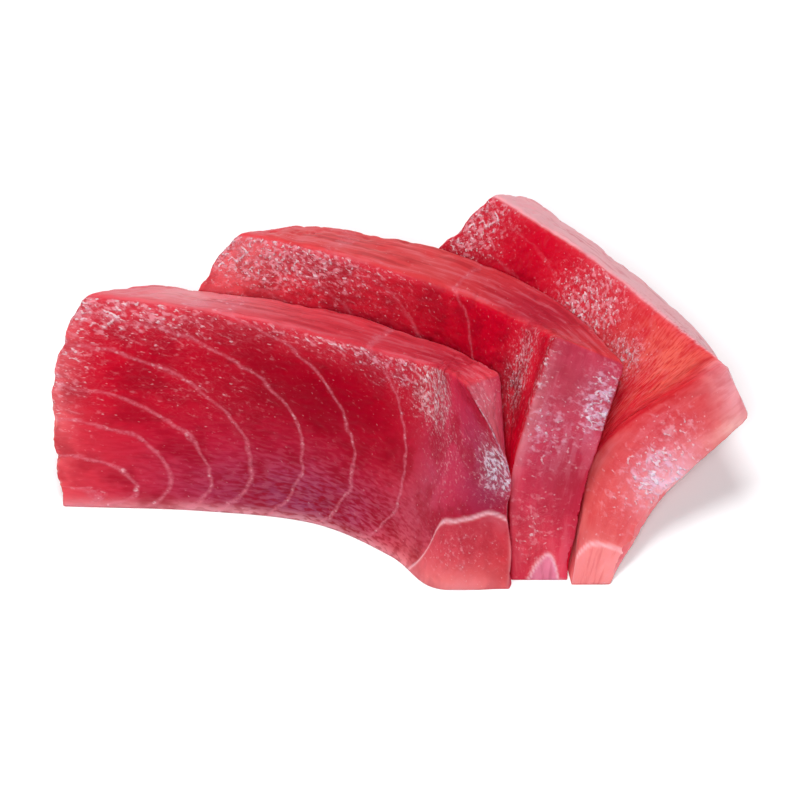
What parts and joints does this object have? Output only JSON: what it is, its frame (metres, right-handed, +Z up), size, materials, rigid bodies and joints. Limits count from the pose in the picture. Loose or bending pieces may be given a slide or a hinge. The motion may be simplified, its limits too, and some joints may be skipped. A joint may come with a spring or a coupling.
{
  "type": "tuna sashimi",
  "caption": "Thick slices of raw red tuna in cut order, leaning back on each other and fanned out from one corner, with pale curved seams in the flesh.",
  "frame": {"origin": "on the surface the slices stand on, below the middle of the set's box", "axes": "+X along the front slice from its free left end towards the gathered corner, +Y from the front slice's face to the back slice, +Z up"},
  "size_m": [0.0991, 0.0546, 0.0266],
  "materials": {
    "flesh_front": "wet raw tuna flesh, deep crimson, pale seams, soft gloss",
    "flesh_middle": "wet raw tuna flesh, crimson, pale pink cut side, soft gloss",
    "flesh_back": "wet raw tuna flesh, orange red, pale rim, soft gloss"
  },
  "bodies": {
    "root": {"slice_front": "flesh_front", "slice_middle": "flesh_middle", "slice_back": "flesh_back"}
  },
  "joints": []
}
